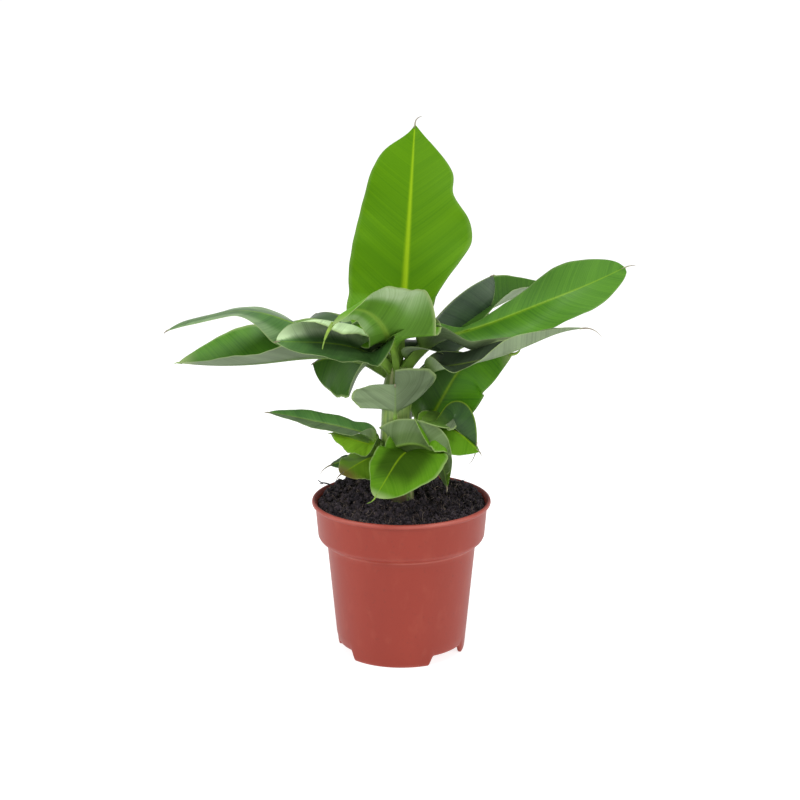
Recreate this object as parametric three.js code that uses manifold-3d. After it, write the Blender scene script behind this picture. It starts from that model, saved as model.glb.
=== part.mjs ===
// A young banana plant in its nursery pot, in millimetres with +Z up.
// The origin is the centre of the pot's flat underside. The pot stands on the ground plane z = 0 and the
// plant's front faces -Y.
import * as THREE from "three";
import { mergeVertices } from "three/addons/utils/BufferGeometryUtils.js";
import Module from "manifold-3d";

const wasm = await Module();
wasm.setup();

const DEGREE = Math.PI / 180;
const CLEARANCE = 0.35; // the gap that touching pieces keep

// Pot: a twelve-centimetre nursery pot of thin moulded plastic.
const POT_HEIGHT = 105;
const LIP_RADIUS = 60;
const LIP_HEIGHT = 3;
const BAND_TOP_RADIUS = 57.6;
const BAND_FOOT_RADIUS = 55.8;
const BAND_FOOT_Z = 80.5;
const SHOULDER_Z = 76;
const BODY_TOP_RADIUS = 50;
const BODY_FOOT_RADIUS = 42.6;
const WALL = 1.6;
const FLOOR_Z = 6.6;
const FLOOR_THICKNESS = 2;
const CENTRE_PAD_RADIUS = 15;
const CENTRE_PAD_SLOPE = 2;
const POT_SEGMENTS = 48;
const FOOT_GAP_ANGLES = [79, 199, 319]; // degrees, the middles of the openings between the feet
const FOOT_GAP_WIDTH = 36;
const FOOT_GAP_HEIGHT = 6.2;

// Soil: peat filled to just under the lip, heaped a little round the stem.
const SOIL_RIM_Z = 101.4;
const SOIL_MOUND = 3.4;
const SOIL_LUMP = 1.1;
const SOIL_SEGMENTS = 40;

// Pseudostem: one limb of rolled leaf sheaths, from a flat cut at the soil to the crown.
// Each station is the axis position, the height and the radius.
const STEM_STATIONS = [
  { x: -2, y: 2, z: 97, radius: 12 },
  { x: -2.3, y: 2, z: 103, radius: 11.4 },
  { x: -2.8, y: 1.4, z: 114, radius: 11 },
  { x: -3.3, y: 1, z: 135, radius: 10.8 },
  { x: -3.4, y: 0.6, z: 160, radius: 10.3 },
  { x: -3, y: 0.2, z: 180, radius: 9.8 },
  { x: -2.4, y: 0.2, z: 190, radius: 8.4 },
  { x: -2, y: 0.4, z: 196, radius: 5.5 },
];
const STEM_SIDES = 24;
const SHEATH_LOBES = 3;
const SHEATH_RELIEF = 0.04; // how far the sheath edges stand out, as a share of the radius

// Leaves. A leaf grows from its base by turning: heading is the compass direction of its midrib in
// degrees (0 is +X, 90 is +Y), pitch its rise above level and roll its turn about the midrib, each given
// as evenly spaced keys from base to tip. Each half leaves the midrib at its fold angle and bends on by
// its curl towards the margin; share scales the half's width and sweep carries its margin to the tip.
// stalk is the stalk's share of the length, channel its half width, blunt and point shape the outline
// near the base and the tip, wave and waves make the margin's ripple, and split is where a leaf that
// bends round a wide gap is divided in two.
const LEAF_DEFAULTS = { roll: [0], stalk: 0.16, channel: 3.2, blunt: 0.6, point: 0.8, wave: 2, waves: 3 };
const HALF_DEFAULTS = { curl: [0], share: [1], sweep: 0 };
const LEAVES = [
  {
    name: "upright",
    base: [-2.5, 4, 190], length: 164, width: 92,
    heading: [40, 58, 64, 70, 76],
    pitch: [80, 83, 82, 80, 76],
    left: { fold: [24, 12, 6, 5], share: [0.9, 0.9, 0.89, 0.87, 0.83, 0.83, 0.85, 0.88, 0.98, 1, 0.3] },
    right: {
      fold: [22, 14, 10, 10],
      share: [0.55, 0.58, 0.61, 0.74, 0.94, 1.13, 1.12, 0.93, 1.08, 0.94, 0.6],
    },
    stalk: 0.12, channel: 6.5, blunt: 0.45, point: 0.78, wave: 1.2,
  },
  {
    name: "front",
    base: [-3, -4, 192], length: 98, width: 82,
    heading: [255, 243, 232, 228, 226],
    pitch: [70, 58, 42, 10, -45],
    roll: [-15, -30, -32, -32, -25],
    left: { fold: [-60, 2, 0, 0], share: [0.75, 0.84, 0.97, 1.05, 1.1] },
    right: { fold: [20, -40, -50, -40], share: [0.4, 0.28, 0.28] },
    stalk: 0.15, channel: 7, blunt: 0.28, point: 0.6, split: 0.62,
  },
  {
    name: "left_dark",
    base: [-7, -3, 192], length: 91, width: 70,
    heading: [208, 212, 208, 200],
    pitch: [52, 24, 9, 6],
    left: { fold: [-10, -20, -18], curl: [0, 20, 20], share: [1, 0.9, 0.85] },
    right: {
      fold: [35, 30, 25, 30], curl: [60, 190, 222, 215, 150, 40],
      share: [0.8, 0.8, 0.9, 0.8, 0.5],
    },
    stalk: 0.16, channel: 4.5, blunt: 0.5, point: 0.55, wave: 1,
  },
  {
    name: "left_long",
    base: [-6, 2, 193], length: 163, width: 62,
    heading: [168, 175, 184, 190, 190],
    pitch: [62, 42, 14, 5, 20, 11, -9, -13, -26],
    roll: [0, 5, 8, 8],
    left: { fold: [-30, -45, -52, -18, 8, 9, 4], share: [0.6, 0.52, 0.55, 0.75, 0.7, 0.6, 0.6] },
    right: { fold: [-30, -30, -15, -12, -14, -10], share: [1, 1, 0.9, 0.6, 0.55, 0.6] },
    stalk: 0.16, channel: 4, wave: 1, waves: 2,
  },
  {
    name: "left_low",
    base: [-6, 1, 187], length: 146, width: 74,
    heading: [166, 170, 178, 184, 188],
    pitch: [34, 5, -8, -1, 8],
    left: { fold: [40, 32, 28, 26], share: [0.8, 0.8, 0.78, 0.8] },
    right: { fold: [40, 42, 42, 40, 30], share: [0.8, 0.85, 0.85, 0.85, 0.97, 1.08, 0.95] },
    stalk: 0.09, channel: 4.5, wave: 1,
  },
  {
    name: "back_left",
    base: [-7, 3, 187], length: 62, width: 54,
    heading: [182, 160, 150, 150],
    pitch: [42, 16, -8, -30],
    left: { fold: [-65, -75, -65] },
    right: { fold: [10, 10, 10] },
    stalk: 0.2, channel: 4.2, blunt: 0.35, point: 0.45, wave: 0.8,
  },
  {
    name: "right_big",
    base: [2, 0, 191], length: 166, width: 68,
    heading: [12, 8, 12, 12, 12],
    pitch: [58, 18, 19, 19, 24],
    roll: [0, -5, -12, -16, -12],
    left: { fold: [20, 0, 2, 5], share: [0.15, 0.2, 0.38, 0.6, 0.92, 1.18, 1.25] },
    right: {
      fold: [-40, -82, -72, -24, -6], curl: [100, 165, 128, 30, 0],
      share: [1.1, 1.25, 1.2, 1, 0.82, 0.82, 0.8],
    },
    stalk: 0.12, channel: 5.2, blunt: 0.6, point: 0.5, wave: 0.8,
  },
  {
    name: "back_right",
    base: [3, 3, 192], length: 97, width: 62,
    heading: [34, 40, 40, 36],
    pitch: [64, 44, 26, 12],
    left: { fold: [-30, -45, -45], share: [0.6, 0.6, 0.5] },
    right: { fold: [-50, -76, -80, -75], share: [0.9, 1, 1] },
    stalk: 0.08, channel: 3.8, blunt: 0.45, point: 0.5, wave: 0.8,
  },
  {
    name: "right_low",
    base: [3, -4, 184], length: 131, width: 34,
    heading: [345, 339, 338, 336],
    pitch: [44, 17, 16, 24, 26, 10],
    left: { fold: [40, 40, 15], share: [0.7, 0.7, 0.7] },
    right: { fold: [-15, -10, 10, 70, 80, 60], share: [1, 0.95, 0.5, 0.35] },
    stalk: 0.14, channel: 4.2, wave: 0.6,
  },
  {
    name: "right_broad",
    base: [4, 5, 130], length: 110, width: 56,
    heading: [366, 360, 352, 345, 345],
    pitch: [62, 62, 61, 61, 62, 54, 22, 16, 8],
    roll: [-50, -85, -85, -70],
    left: { fold: [0, 0, 0], share: [0.8, 0.9, 0.7, 0.12, 0.1] },
    right: { fold: [5, 5, 5], share: [0.9, 0.85, 0.85, 0.95, 0.95] },
    stalk: 0.22, wave: 0.4,
  },
  {
    name: "right_droop",
    base: [6, -6, 128], length: 95, width: 42,
    heading: [352, 354, 345, 330, 320],
    pitch: [64, 60, 54, -58, -94],
    left: { fold: [-30, -35, -45] },
    right: { fold: [-50, -50, -60] },
    stalk: 0.32, wave: 1, split: 0.56,
  },
  {
    name: "shield",
    base: [-4, -9, 154], length: 36, width: 56,
    heading: [270, 270, 268],
    pitch: [84, 78, 56],
    left: { fold: [12, 15, 15], share: [1.1, 1, 0.75], sweep: 14 },
    right: { fold: [8, 8, 8], share: [1.05, 1.05, 0.85], sweep: -1 },
    stalk: 0.3, blunt: 0.5, point: 0.4, wave: 1,
  },
  {
    name: "low_narrow",
    base: [-12, -2, 136], length: 85, width: 20,
    heading: [175, 180, 178, 182],
    pitch: [70, 22, 12, 12, 9],
    left: { fold: [-12, -12, -5] },
    right: { fold: [25, 30, 30] },
    stalk: 0.15, wave: 0.4,
  },
  {
    name: "low_lime",
    base: [-11, -4, 142], length: 37, width: 24,
    heading: [185, 182, 180],
    pitch: [8, 18, 14],
    left: { fold: [-35, -35, -35] },
    right: { fold: [10, 10, 10] },
    stalk: 0.12, wave: 0.8,
  },
  {
    name: "low_tan",
    base: [-9, -7, 137], length: 36, width: 40,
    heading: [195, 208, 215],
    pitch: [5, -20, -20],
    left: { fold: [-20, -20, -20] },
    right: { fold: [0, 0, 0] },
    stalk: 0.12, wave: 1,
  },
  {
    name: "low_tiny",
    base: [-12, 0, 130], length: 36, width: 18,
    heading: [178, 182, 190],
    pitch: [8, 0, -20],
    left: { fold: [-30, -30, -30] },
    right: { fold: [10, 10, 10] },
    stalk: 0.15, wave: 0.5,
  },
  {
    name: "low_front",
    base: [1, -9, 131], length: 64, width: 58,
    heading: [300, 256, 232, 215],
    pitch: [64, 8, -40, -50],
    roll: [0, 6, 8],
    left: { fold: [8, 8, 8], share: [1.1, 1.15, 1.2, 1.2, 1.1] },
    right: { fold: [8, 8, 8], share: [0.6, 0.6, 0.5] },
    stalk: 0.15, blunt: 0.5, point: 0.55, wave: 1.2,
  },
  {
    name: "low_arch",
    base: [-12, -8, 136], length: 70, width: 34,
    heading: [290, 345, 326, 300],
    pitch: [44, 14, -42, -80],
    roll: [60, 80, 80],
    left: { fold: [5, 5, 5] },
    right: { fold: [30, 30, 30], share: [1, 0.9, 0.9], sweep: -10 },
    stalk: 0.08, blunt: 0.3, point: 0.55, wave: 1, split: 0.5,
  },
  {
    name: "low_right",
    base: [6, -6, 145], length: 58, width: 44,
    heading: [350, 335, 338],
    pitch: [56, 20, -28, -42],
    left: { fold: [-10, -10, -10] },
    right: { fold: [-30, -30, -40] },
    stalk: 0.2, wave: 1,
  },
  {
    name: "back_high",
    base: [-1, 6, 190], length: 134, width: 56,
    heading: [92, 91, 90, 92],
    pitch: [72, 48, 20, -12],
    left: { fold: [10, 15, 10] },
    right: { fold: [10, 15, 10] },
    stalk: 0.16, channel: 5,
  },
  {
    name: "back_mid",
    base: [-6, 4, 188], length: 112, width: 52,
    heading: [128, 122, 120, 118],
    pitch: [40, 24, 2, -20],
    left: { fold: [-15, -20, -15] },
    right: { fold: [-15, -20, -15] },
    stalk: 0.18,
  },
  {
    name: "back_steep",
    base: [1, 6, 189], length: 139, width: 50,
    heading: [50, 39, 38, 37],
    pitch: [53, 22, 10, 14, 8],
    left: { fold: [-10, 0, 40, 42, 36], share: [0.4, 0.5, 1, 1.15] },
    right: { fold: [-10, 0, 32, 34, 30] },
    stalk: 0.18, wave: 1,
  },
  {
    name: "back_low",
    base: [1, 8, 141], length: 74, width: 38,
    heading: [80, 74, 70],
    pitch: [48, 20, -20],
    left: { fold: [-12, -15, -12] },
    right: { fold: [-12, -15, -12] },
    stalk: 0.18,
  },
];
const LEAF_THICKNESS_SHARE = 0.0108; // of the leaf's length
const LEAF_THICKNESS_LEAST = 0.8;
const MIDRIB_STEPS = 240;
const ROW_SPACING = 12;
const ROWS_LEAST = 9;
const ROWS_PER_TURN = 2; // further rows for each radian of a half's curl
const STALK_FOLD = 40; // degrees: the stalk is a channel
const STALK_CURL = 25;
const OPENING_SHARE = 0.22; // of the blade: how soon the channel opens out flat
const COLUMN_CURL = 60; // degrees of a half's curl that each further column takes
const FLAT_TIP = 3; // thicknesses: a half narrower than this, more for a curled one, loses its fold
const RIPPLE_OFFSET = 1.7; // radians between the ripples of a leaf's two margins

const COLOURS = {
  pot: { color: 0xa84a3c, roughness: 0.38 },
  soil: { color: 0x2a211c, roughness: 0.95 },
  pseudostem: { color: 0x8fa04a, roughness: 0.5 },
  blade: { color: 0x4f9422, roughness: 0.42 },
};

// ---- small tools ----

function smooth(x) {
  const c = THREE.MathUtils.clamp(x, 0, 1);
  return c * c * (3 - 2 * c);
}

// The value at t (0 to 1) of a smooth curve through evenly spaced keys.
function along(keys, t) {
  const last = keys.length - 1;
  if (last === 0) return keys[0];
  const x = THREE.MathUtils.clamp(t, 0, 1) * last;
  const i = Math.min(Math.floor(x), last - 1);
  const f = x - i;
  const key = (j) => keys[THREE.MathUtils.clamp(j, 0, last)];
  const [a, b, c, d] = [key(i - 1), key(i), key(i + 1), key(i + 2)];
  const square = 2 * a - 5 * b + 4 * c - d;
  const cube = 3 * b - a - 3 * c + d;
  return 0.5 * (2 * b + (c - a) * f + square * f ** 2 + cube * f ** 3);
}

function toSolid(geometry) {
  const bare = new THREE.BufferGeometry();
  bare.setAttribute("position", geometry.getAttribute("position"));
  if (geometry.index) bare.setIndex(geometry.index);
  const merged = mergeVertices(bare, 1e-4);
  const mesh = new wasm.Mesh({
    numProp: 3,
    vertProperties: new Float32Array(merged.attributes.position.array),
    triVerts: new Uint32Array(merged.index.array),
  });
  return new wasm.Manifold(mesh);
}

function toGeometry(solid) {
  const { vertProperties, triVerts } = solid.getMesh();
  const geometry = new THREE.BufferGeometry();
  geometry.setAttribute("position", new THREE.BufferAttribute(vertProperties, 3));
  geometry.setIndex(new THREE.BufferAttribute(triVerts, 1));
  geometry.computeVertexNormals();
  return geometry;
}

function largestBody(solid) {
  const bodies = solid.decompose();
  return bodies.reduce((best, body) => (body.volume() > best.volume() ? body : best));
}

function mesh(name, solid, look) {
  const made = new THREE.Mesh(toGeometry(solid), new THREE.MeshStandardMaterial({ metalness: 0, ...look }));
  made.name = name;
  return made;
}

// A closed surface through rings of equal point count, with a flat fan over each end.
function loft(rings) {
  const sides = rings[0].length;
  const points = rings.flat();
  const faces = [];
  for (let k = 0; k + 1 < rings.length; k++)
    for (let i = 0; i < sides; i++) {
      const [a, b] = [k * sides + i, k * sides + ((i + 1) % sides)];
      faces.push(a, b, b + sides, a, b + sides, a + sides);
    }
  for (const [ring, turn] of [[0, -1], [rings.length - 1, 1]]) {
    const centre = rings[ring].reduce((sum, p) => sum.add(p), new THREE.Vector3()).divideScalar(sides);
    points.push(centre);
    for (let i = 0; i < sides; i++) {
      const [a, b] = [ring * sides + i, ring * sides + ((i + 1) % sides)];
      faces.push(points.length - 1, ...(turn > 0 ? [a, b] : [b, a]));
    }
  }
  return new THREE.BufferGeometry().setFromPoints(points).setIndex(faces);
}

// ---- pot and soil ----

function potRadiusAt(z) {
  return THREE.MathUtils.mapLinear(z, 0, SHOULDER_Z, BODY_FOOT_RADIUS, BODY_TOP_RADIUS);
}

function revolve(profile, segments) {
  const points = profile.map(([r, z]) => new THREE.Vector2(r, z));
  return new THREE.LatheGeometry(points, segments).rotateX(Math.PI / 2);
}

// The inside of the pot's wall from its floor up to the lip, moved inwards by inset.
function innerWall(inset) {
  const r = WALL + inset;
  const floor = FLOOR_Z + FLOOR_THICKNESS + inset;
  return [
    [potRadiusAt(floor) - r, floor],
    [BODY_TOP_RADIUS - r, SHOULDER_Z + r],
    [BAND_FOOT_RADIUS - r, BAND_FOOT_Z + r],
    [BAND_TOP_RADIUS - r, POT_HEIGHT - LIP_HEIGHT],
  ];
}

function makePot() {
  const lip = [];
  for (let i = 0; i <= 4; i++) {
    const a = (-90 + 45 * i) * DEGREE;
    const bead = LIP_HEIGHT / 2;
    lip.push([LIP_RADIUS - bead + bead * Math.cos(a), POT_HEIGHT - bead + bead * Math.sin(a)]);
  }
  const profile = [
    [0, 0],
    [CENTRE_PAD_RADIUS, 0],
    [CENTRE_PAD_RADIUS + CENTRE_PAD_SLOPE, FLOOR_Z],
    [BODY_FOOT_RADIUS - 2 * WALL, FLOOR_Z],
    [BODY_FOOT_RADIUS - 1.8 * WALL, 0],
    [BODY_FOOT_RADIUS - 0.8, 0],
    [potRadiusAt(0.8), 0.8],
    [potRadiusAt(8), 8],
    [BODY_TOP_RADIUS, SHOULDER_Z - 0.6],
    [BODY_TOP_RADIUS + 0.7, SHOULDER_Z],
    [BAND_FOOT_RADIUS - 1, BAND_FOOT_Z - 2],
    [BAND_FOOT_RADIUS, BAND_FOOT_Z],
    [BAND_TOP_RADIUS, POT_HEIGHT - LIP_HEIGHT],
    ...lip,
    [BAND_TOP_RADIUS, POT_HEIGHT - LIP_HEIGHT / 3],
    ...innerWall(0).reverse(),
    [0, FLOOR_Z + FLOOR_THICKNESS],
  ];
  const gap = new THREE.Shape();
  const halfGap = FOOT_GAP_WIDTH / 2;
  gap.moveTo(-halfGap, -1);
  gap.lineTo(halfGap, -1);
  gap.quadraticCurveTo(halfGap - 1, FOOT_GAP_HEIGHT, halfGap - 5, FOOT_GAP_HEIGHT);
  gap.lineTo(5 - halfGap, FOOT_GAP_HEIGHT);
  gap.quadraticCurveTo(1 - halfGap, FOOT_GAP_HEIGHT, -halfGap, -1);
  const inner = CENTRE_PAD_RADIUS + 2 * CENTRE_PAD_SLOPE;
  let pot = toSolid(revolve(profile, POT_SEGMENTS));
  for (const angle of FOOT_GAP_ANGLES) {
    const extent = { depth: BODY_TOP_RADIUS - inner, bevelEnabled: false, curveSegments: 4 };
    const opening = new THREE.ExtrudeGeometry(gap, extent);
    opening.rotateX(Math.PI / 2).rotateZ(Math.PI / 2).translate(inner, 0, 0);
    opening.rotateZ(angle * DEGREE);
    pot = pot.subtract(toSolid(opening));
  }
  return pot;
}

// Low lumps that follow the soil's position only.
function soilLump(x, y) {
  const broad = Math.sin(0.31 * x + 1.1) * Math.cos(0.27 * y);
  return SOIL_LUMP * (broad + 0.5 * Math.sin(0.63 * x - 0.5 * y + 2));
}

function makeSoil(stemSocket) {
  const wall = innerWall(CLEARANCE).map(([r, z]) => [r, Math.min(z, SOIL_RIM_Z)]);
  const rim = wall.at(-1)[0];
  const top = [0.86, 0.7, 0.52, 0.34, 0.16].map((share) => [rim * share, SOIL_RIM_Z]);
  const profile = [[0, wall[0][1]], ...wall, ...top, [0, SOIL_RIM_Z]];
  const geometry = revolve(profile, SOIL_SEGMENTS);
  const position = geometry.getAttribute("position");
  for (let i = 0; i < position.count; i++) {
    const [x, y, z] = [position.getX(i), position.getY(i), position.getZ(i)];
    const share = Math.hypot(x, y) / rim;
    if (z < SOIL_RIM_Z - 0.01) continue;
    const lump = soilLump(x, y) * smooth((1 - share) / 0.15);
    position.setZ(i, z + SOIL_MOUND * (1 - smooth(share)) + lump);
  }
  return largestBody(toSolid(geometry).subtract(stemSocket));
}

// ---- pseudostem ----

function makeStem(grow) {
  const rings = STEM_STATIONS.map(({ x, y, z, radius }, k) => {
    const last = k === STEM_STATIONS.length - 1;
    const height = z + (k === 0 ? -grow : last ? grow : 0);
    return Array.from({ length: STEM_SIDES }, (_, i) => {
      const angle = (2 * Math.PI * i) / STEM_SIDES;
      const relief = 1 + SHEATH_RELIEF * Math.cos(SHEATH_LOBES * angle + 0.02 * z);
      const r = radius * relief + grow;
      return new THREE.Vector3(x + r * Math.cos(angle), y + r * Math.sin(angle), height);
    });
  });
  return toSolid(loft(rings));
}

// ---- leaves ----

// The leaf with its defaults filled in, its angles in radians and the points of its midrib.
function grown(leaf) {
  const full = { ...LEAF_DEFAULTS, ...leaf };
  const radians = (keys) => keys.map((key) => key * DEGREE);
  for (const key of ["heading", "pitch", "roll"]) full[key] = radians(full[key]);
  for (const side of ["left", "right"]) {
    const half = { ...HALF_DEFAULTS, ...full[side] };
    full[side] = { ...half, fold: radians(half.fold), curl: radians(half.curl) };
  }
  full.thickness = Math.max(full.length * LEAF_THICKNESS_SHARE, LEAF_THICKNESS_LEAST);
  full.points = [new THREE.Vector3(...full.base)];
  for (let i = 0; i < MIDRIB_STEPS; i++) {
    const step = direction(full, (i + 0.5) / MIDRIB_STEPS).multiplyScalar(full.length / MIDRIB_STEPS);
    full.points.push(full.points[i].clone().add(step));
  }
  return full;
}

function direction(leaf, t) {
  const [heading, pitch] = [along(leaf.heading, t), along(leaf.pitch, t)];
  const level = Math.cos(pitch);
  return new THREE.Vector3(level * Math.cos(heading), level * Math.sin(heading), Math.sin(pitch));
}

// The midrib's point at t, its direction, the way to the leaf's right and the way up from its upper face.
function frameAt(leaf, t) {
  const x = t * MIDRIB_STEPS;
  const i = Math.min(Math.floor(x), MIDRIB_STEPS - 1);
  const point = leaf.points[i].clone().lerp(leaf.points[i + 1], x - i);
  const forward = direction(leaf, t);
  const heading = along(leaf.heading, t);
  const right = new THREE.Vector3(Math.sin(heading), -Math.cos(heading), 0);
  const up = right.clone().cross(forward);
  const roll = along(leaf.roll, t);
  right.applyAxisAngle(forward, -roll);
  up.applyAxisAngle(forward, -roll);
  return { point, forward, right, up };
}

// Half the blade's width at u along the blade: the stalk's channel, then u^blunt (1 - u)^point.
function halfWidth(leaf, u) {
  const { width, blunt, point, channel } = leaf;
  const peak = blunt / (blunt + point);
  const outline = (v) => v ** blunt * (1 - v) ** point;
  const v = THREE.MathUtils.clamp(u, 0, 1);
  return ((width / 2) * outline(v)) / outline(peak) + channel * (1 - smooth(u / 0.25));
}

// One row of the blade: its upper points and its lower points from the left margin to the right one.
function bladeRow(leaf, t, columns, grow, shift) {
  const { point, forward, right, up } = frameAt(leaf, t);
  point.addScaledVector(forward, shift);
  const u = (t - leaf.stalk) / (1 - leaf.stalk);
  const v = THREE.MathUtils.clamp(u, 0, 1);
  const open = smooth(u / OPENING_SHARE);
  const half = leaf.thickness / 2 + grow;
  const rib = (0.5 + 0.011 * leaf.length) * (1 - 0.8 * t);
  const upper = [];
  const lower = [];
  for (const [name, side] of [["left", -1], ["right", 1]]) {
    const { fold, curl, share, sweep } = leaf[name];
    let start = THREE.MathUtils.lerp(STALK_FOLD * DEGREE, along(fold, v), open);
    let turn = THREE.MathUtils.lerp(STALK_CURL * DEGREE, along(curl, v), open) || 1e-3;
    const wanted = halfWidth(leaf, u) * THREE.MathUtils.lerp(1, along(share, v), open);
    const wide = Math.max(wanted, leaf.thickness / 2);
    const flat = smooth(wide / (FLAT_TIP * leaf.thickness * (1 + Math.abs(turn))));
    start *= flat;
    turn *= flat;
    const phase = 2 * Math.PI * leaf.waves * v + (side > 0 ? RIPPLE_OFFSET : 0);
    const ripple = leaf.wave * Math.sin(phase) * Math.sin(Math.PI * v) ** 0.7 * open;
    for (let j = 1; j <= columns; j++) {
      const w = j / columns;
      const angle = start + turn * w;
      const margin = j === columns ? grow : 0;
      const [sine, cosine] = [Math.sin(angle), Math.cos(angle)];
      const x = (wide * (sine - Math.sin(start))) / turn + margin * cosine;
      const y = (wide * (Math.cos(start) - cosine)) / turn + margin * sine + ripple * w * w;
      const middle = point.clone().addScaledVector(right, side * x).addScaledVector(up, y);
      middle.addScaledVector(forward, sweep * w * w * open);
      const normal = right.clone().multiplyScalar(-side * sine).addScaledVector(up, cosine);
      const put = side < 0 ? "unshift" : "push";
      upper[put](middle.clone().addScaledVector(normal, half));
      lower[put](middle.clone().addScaledVector(normal, -half));
    }
    if (side < 0) {
      upper.push(point.clone().addScaledVector(up, half));
      lower.push(point.clone().addScaledVector(up, -half - rib));
    }
  }
  return { upper, lower };
}

// The blade from t = from to t = to as a closed strip of rows. A grown blade is larger by grow all round.
function bladeSolid(leaf, from, to, grow) {
  const strongest = Math.max(...[...leaf.left.curl, ...leaf.right.curl].map(Math.abs));
  const columns = 2 + Math.round(strongest / (COLUMN_CURL * DEGREE));
  const plain = Math.max(Math.round(leaf.length / ROW_SPACING), ROWS_LEAST);
  const whole = plain + Math.round(ROWS_PER_TURN * strongest);
  const count = Math.max(Math.round(whole * (to - from)), 4);
  const rings = [];
  for (let k = 0; k <= count; k++) {
    const shift = k === 0 ? -grow : k === count ? grow : 0;
    const { upper, lower } = bladeRow(leaf, from + ((to - from) * k) / count, columns, grow, shift);
    rings.push([...upper, ...lower.reverse()]);
  }
  const sides = rings[0].length;
  const faces = [];
  for (let k = 0; k < count; k++)
    for (let i = 0; i < sides; i++) {
      const [a, b] = [k * sides + i, k * sides + ((i + 1) % sides)];
      // Both faces of the blade are split along the same diagonal, outwards and forwards from the midrib.
      const back = i < columns || (i > 2 * columns && i <= 3 * columns);
      const [c, d] = [b + sides, a + sides];
      faces.push(...(back ? [a, b, d, b, c, d] : [a, b, c, a, c, d]));
    }
  for (const [ring, turn] of [[0, -1], [count, 1]])
    for (let i = 0; i < sides / 2 - 1; i++) {
      const [a, b] = [ring * sides + i, ring * sides + i + 1];
      const [c, d] = [ring * sides + sides - 2 - i, ring * sides + sides - 1 - i];
      faces.push(...(turn > 0 ? [a, b, c, a, c, d] : [a, c, b, a, d, c]));
    }
  return toSolid(new THREE.BufferGeometry().setFromPoints(rings.flat()).setIndex(faces));
}

// A leaf's stretches from base to tip: one, or two that meet at the split.
function stretches(leaf) {
  const whole = `${leaf.name}_leaf`;
  return leaf.split ? [[whole, 0, leaf.split], [`${whole}_tip`, leaf.split, 1]] : [[whole, 0, 1]];
}

// Leaves are placed in turn. Each stretch is cut clear of the stem and of all that is already there.
function makeLeaves(stemSocket) {
  const taken = [stemSocket];
  const made = new THREE.Group();
  for (const leaf of LEAVES.map(grown))
    for (const [name, from, to] of stretches(leaf)) {
      const free = taken.reduce((solid, other) => solid.subtract(other), bladeSolid(leaf, from, to, 0));
      made.add(mesh(name, largestBody(free), COLOURS.blade));
      taken.push(bladeSolid(leaf, from, to, CLEARANCE));
    }
  return made;
}

// ---- the plant ----

const plant = new THREE.Group();
plant.name = "potted_banana_plant";
const stemSocket = makeStem(CLEARANCE);
plant.add(mesh("pot", makePot(), COLOURS.pot));
plant.add(mesh("soil", makeSoil(stemSocket), COLOURS.soil));
plant.add(mesh("pseudostem", makeStem(0), COLOURS.pseudostem));
plant.add(makeLeaves(stemSocket));

export default plant;
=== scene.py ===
"""A young banana plant in a nursery pot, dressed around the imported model.

Lengths in the tables are millimetres and are turned into metres by MM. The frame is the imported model's:
the origin is the centre of the pot's underside, +Z is up and the plant's front faces -Y.
"""

import itertools
import math

import bpy
import numpy as np
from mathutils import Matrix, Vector


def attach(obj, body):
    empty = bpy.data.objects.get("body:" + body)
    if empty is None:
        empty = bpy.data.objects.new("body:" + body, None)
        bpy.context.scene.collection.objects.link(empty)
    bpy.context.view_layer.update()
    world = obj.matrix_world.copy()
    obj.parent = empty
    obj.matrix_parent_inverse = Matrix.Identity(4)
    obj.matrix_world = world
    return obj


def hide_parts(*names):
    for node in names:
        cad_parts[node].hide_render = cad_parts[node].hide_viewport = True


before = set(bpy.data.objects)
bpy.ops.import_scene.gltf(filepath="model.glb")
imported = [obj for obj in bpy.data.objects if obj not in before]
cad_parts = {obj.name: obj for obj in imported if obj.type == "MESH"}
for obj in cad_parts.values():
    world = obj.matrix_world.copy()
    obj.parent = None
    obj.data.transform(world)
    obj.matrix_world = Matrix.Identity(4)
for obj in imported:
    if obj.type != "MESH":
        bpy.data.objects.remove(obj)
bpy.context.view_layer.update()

MM = 0.001
SEED = 7
CIRCLE = 2 * np.pi

# Camera, in metres: it looks a little down along +Y.
CAMERA_TARGET = (-0.0009, 0, 0.1729)
CAMERA_DISTANCE = 1.5
CAMERA_ELEVATION = 14.8  # degrees
CAMERA_LENS = 101.97  # millimetres, on a sensor of 36

# Stage, in metres. Each lamp has a name, a place, a diameter and a power in watts.
FLOOR_REACH = 30
FLOOR_GREY = 0.4
FLOOR_GLOW = 0.82
SKY_STRENGTH = 0.5
LAMP_TARGET = (0, 0, 0.18)
LAMPS = (
    ("left", (-1.5, -1.0, 1.1), 0.9, 19),
    ("right", (1.5, -0.9, 1.0), 0.9, 13),
    ("top", (0.1, -0.2, 1.8), 0.8, 16),
)

# Pot.
POT_HEIGHT = 105
LIP_RADIUS = 60
LIP_HEIGHT = 3
BAND_TOP_RADIUS = 57.6
BAND_FOOT_RADIUS = 55.8
BAND_FOOT_Z = 80.5
SHOULDER_Z = 76
BODY_TOP_RADIUS = 50
BODY_FOOT_RADIUS = 42.6
WALL = 1.6
FLOOR_Z = 6.6
FLOOR_THICKNESS = 2
CENTRE_PAD_RADIUS = 15
CENTRE_PAD_SLOPE = 2
FOOT_RING_TOP_RADIUS = 38.6  # the foot ring's inner side
FOOT_RING_RADIUS = 39.9
FOOT_GAP_ANGLES = (79, 199, 319)  # degrees
FOOT_GAP_WIDTH = 36
FOOT_GAP_HEIGHT = 6.2
FOOT_GAP_SLOPE = 4.5
FOOT_BLEND_Z = 14  # the openings fade out up to here
POT_ROUNDING = 0.9
POT_STEP = 2.5
POT_SIDES = 360

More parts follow.
